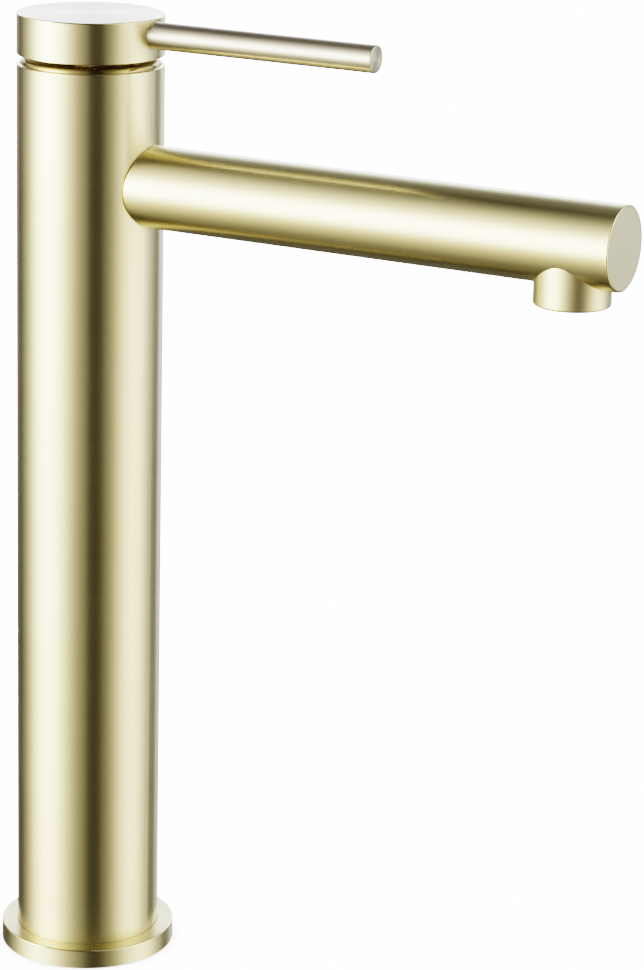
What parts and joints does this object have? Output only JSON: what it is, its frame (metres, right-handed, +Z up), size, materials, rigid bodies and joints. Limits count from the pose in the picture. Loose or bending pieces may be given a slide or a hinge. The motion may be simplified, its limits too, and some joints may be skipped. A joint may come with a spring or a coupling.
{
  "type": "bathroom mixer faucet",
  "caption": "Tall single-lever basin mixer faucet in brushed pale gold: slim round column, long straight spout with aerator, pin lever on a round cap, ceramic disc cartridge inside.",
  "frame": {"origin": "centre of the base flange's underside, on the deck", "axes": "+Z up the column, +X along the spout and the lever, +Y to the user's right"},
  "size_m": [0.2045, 0.055, 0.3],
  "materials": {
    "brushed_gold": "brushed champagne gold plating",
    "polished_gold": "polished gold plating",
    "cast_brass": "machined brass",
    "copper_tube": "drawn copper, dull",
    "ceramic_disc": "lapped",
    "cartridge_plastic": "moulded",
    "water_pipe_plastic": "smooth, slightly clear",
    "aerator_plastic": "moulded",
    "black_rubber": "matte",
    "steel_fixings": "plain"
  },
  "bodies": {
    "root": {"base_flange": "brushed_gold", "base_gasket": "black_rubber", "base_plug": "cast_brass", "hot_riser_tube": "copper_tube", "cold_riser_tube": "copper_tube", "riser_o_rings": "black_rubber", "body_column": "brushed_gold", "valve_body": "cast_brass", "cartridge_base": "cartridge_plastic", "cartridge_port_seals": "black_rubber", "fixed_ceramic_disc": "ceramic_disc", "cartridge_housing": "cartridge_plastic", "retaining_nut": "cast_brass", "cartridge_cover_ring": "polished_gold", "spout_tube": "brushed_gold", "spout_end_cap": "brushed_gold", "spout_block": "cast_brass", "spout_screw": "steel_fixings", "spout_nipple": "cast_brass", "nipple_o_ring": "black_rubber", "spout_waterway": "water_pipe_plastic", "aerator_collar": "brushed_gold", "aerator_shell": "aerator_plastic", "aerator_insert": "aerator_plastic", "aerator_seal": "black_rubber"},
    "rotor": {"cartridge_rotor": "cartridge_plastic", "rotor_o_ring": "black_rubber", "stem_pin": "steel_fixings"},
    "disc_slider": {"disc_carrier": "cartridge_plastic", "moving_ceramic_disc": "ceramic_disc"},
    "handle": {"lever_stem": "cast_brass", "handle_cap": "brushed_gold", "lever_rod": "brushed_gold", "handle_set_screw": "steel_fixings", "set_screw_plug": "brushed_gold"}
  },
  "joints": [
    {"name": "temperature_turn", "type": "hinge", "parent": "root", "child": "rotor", "pos_m": [0, 0, 0.2707], "axis": [0, 0, 1], "range_deg": [-50, 50]},
    {"name": "lever_lift", "type": "hinge", "parent": "rotor", "child": "handle", "pos_m": [0, 0, 0.2707], "axis": [0, -1, 0], "range_deg": [0, 25]},
    {"name": "disc_slide", "type": "slide", "parent": "rotor", "child": "disc_slider", "axis": [1, 0, 0], "range_m": [0, 0.0039]}
  ],
  "couplings": [
    {"joint": "disc_slide", "follows": "lever_lift", "m_per_rad": 0.0087171}
  ]
}
